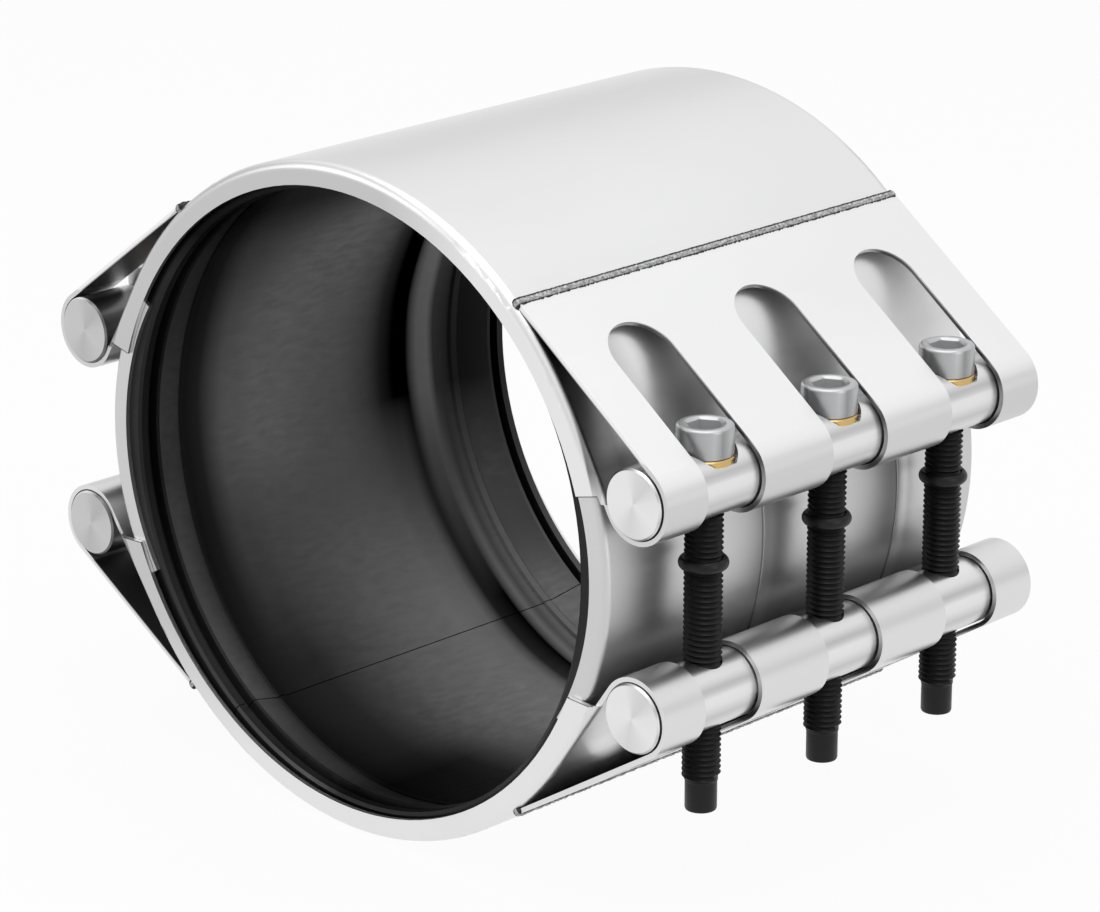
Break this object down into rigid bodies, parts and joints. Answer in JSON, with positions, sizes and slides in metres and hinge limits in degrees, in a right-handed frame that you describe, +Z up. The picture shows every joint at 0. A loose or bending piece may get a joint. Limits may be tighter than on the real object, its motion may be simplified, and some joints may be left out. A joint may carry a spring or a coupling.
{
  "type": "repair coupling",
  "caption": "Bolted stainless two-half pipe repair coupling: welded strap loops round cross-drilled lock bars, socket screws, washers and a rubber sleeve with sealing lips inside.",
  "frame": {"origin": "middle of the bore, half way along the casing", "axes": "+Y along the pipe, +X across to the bolted side seen at the right in the picture, +Z up, from the screw tips to the screw heads"},
  "size_m": [0.2742, 0.174, 0.2183],
  "materials": {
    "casing_steel": "bright rolled stainless sheet",
    "bar_steel": "satin turned stainless bar",
    "screw_steel": "polished head, black coated thread",
    "washer_brass": "plain bright brass",
    "sleeve_rubber": "smooth moulded rubber",
    "ring_plastic": "smooth black plastic"
  },
  "bodies": {
    "lower_half": {"lower_casing": "casing_steel", "right_lower_bar": "bar_steel", "left_lower_bar": "bar_steel", "sealing_sleeve": "sleeve_rubber", "right_bridge_plate": "casing_steel", "left_bridge_plate": "casing_steel"},
    "upper_half": {"upper_casing": "casing_steel", "right_upper_bar": "bar_steel", "left_upper_bar": "bar_steel", "right_front_washer": "washer_brass", "right_middle_washer": "washer_brass", "right_back_washer": "washer_brass", "left_front_washer": "washer_brass", "left_middle_washer": "washer_brass", "left_back_washer": "washer_brass"},
    "right_front_screw_turning": {"right_front_screw": "screw_steel", "right_front_captive_ring": "ring_plastic"},
    "right_middle_screw_turning": {"right_middle_screw": "screw_steel", "right_middle_captive_ring": "ring_plastic"},
    "right_back_screw_turning": {"right_back_screw": "screw_steel", "right_back_captive_ring": "ring_plastic"},
    "left_front_screw_turning": {"left_front_screw": "screw_steel", "left_front_captive_ring": "ring_plastic"},
    "left_middle_screw_turning": {"left_middle_screw": "screw_steel", "left_middle_captive_ring": "ring_plastic"},
    "left_back_screw_turning": {"left_back_screw": "screw_steel", "left_back_captive_ring": "ring_plastic"}
  },
  "joints": [
    {"name": "closing_travel", "type": "slide", "parent": "lower_half", "child": "upper_half", "axis": [0, 0, 1], "range_m": [0, 0.012]},
    {"name": "right_front_screw_turn", "type": "hinge", "parent": "upper_half", "child": "right_front_screw_turning", "pos_m": [0.124, -0.0556, 0], "axis": [0, 0, 1], "range_deg": [0, 2469.1]},
    {"name": "right_middle_screw_turn", "type": "hinge", "parent": "upper_half", "child": "right_middle_screw_turning", "pos_m": [0.124, 0, 0], "axis": [0, 0, 1], "range_deg": [0, 2469.1]},
    {"name": "right_back_screw_turn", "type": "hinge", "parent": "upper_half", "child": "right_back_screw_turning", "pos_m": [0.124, 0.0556, 0], "axis": [0, 0, 1], "range_deg": [0, 2469.1]},
    {"name": "left_front_screw_turn", "type": "hinge", "parent": "upper_half", "child": "left_front_screw_turning", "pos_m": [-0.124, -0.0556, 0], "axis": [0, 0, 1], "range_deg": [0, 2469.1]},
    {"name": "left_middle_screw_turn", "type": "hinge", "parent": "upper_half", "child": "left_middle_screw_turning", "pos_m": [-0.124, 0, 0], "axis": [0, 0, 1], "range_deg": [0, 2469.1]},
    {"name": "left_back_screw_turn", "type": "hinge", "parent": "upper_half", "child": "left_back_screw_turning", "pos_m": [-0.124, 0.0556, 0], "axis": [0, 0, 1], "range_deg": [0, 2469.1]}
  ],
  "couplings": [
    {"joint": "right_front_screw_turn", "follows": "closing_travel", "rad_per_m": 3590.4},
    {"joint": "right_middle_screw_turn", "follows": "closing_travel", "rad_per_m": 3590.4},
    {"joint": "right_back_screw_turn", "follows": "closing_travel", "rad_per_m": 3590.4},
    {"joint": "left_front_screw_turn", "follows": "closing_travel", "rad_per_m": 3590.4},
    {"joint": "left_middle_screw_turn", "follows": "closing_travel", "rad_per_m": 3590.4},
    {"joint": "left_back_screw_turn", "follows": "closing_travel", "rad_per_m": 3590.4}
  ]
}
